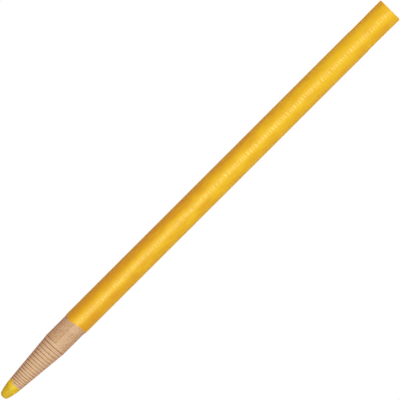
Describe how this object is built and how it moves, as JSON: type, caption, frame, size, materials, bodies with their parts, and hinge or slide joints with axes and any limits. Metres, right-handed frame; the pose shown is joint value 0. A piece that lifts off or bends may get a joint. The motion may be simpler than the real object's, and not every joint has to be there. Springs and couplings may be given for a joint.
{
  "type": "china marker",
  "caption": "Round peel-off grease pencil: a yellow wax rod in a wound paper roll, ground to a cone that bares the spiral of turns, under a smooth yellow wrapper.",
  "frame": {"origin": "centre of the flat end, on the surface that the marker stands on", "axes": "+Z along the marker, from the flat end to the tip; -Y is the side with the seams of the paper"},
  "size_m": [0.0088, 0.0088, 0.178],
  "materials": {
    "wax": "soft pigmented wax, satin where it was ground",
    "brown_paper": "bare brown paper, matte, with dark glued edges between the turns",
    "yellow_coat": "coated paper, semi-gloss, with a fine ripple"
  },
  "bodies": {
    "root": {"wax_core": "wax", "paper_wrap": "brown_paper", "yellow_wrapper": "yellow_coat"}
  },
  "joints": []
}
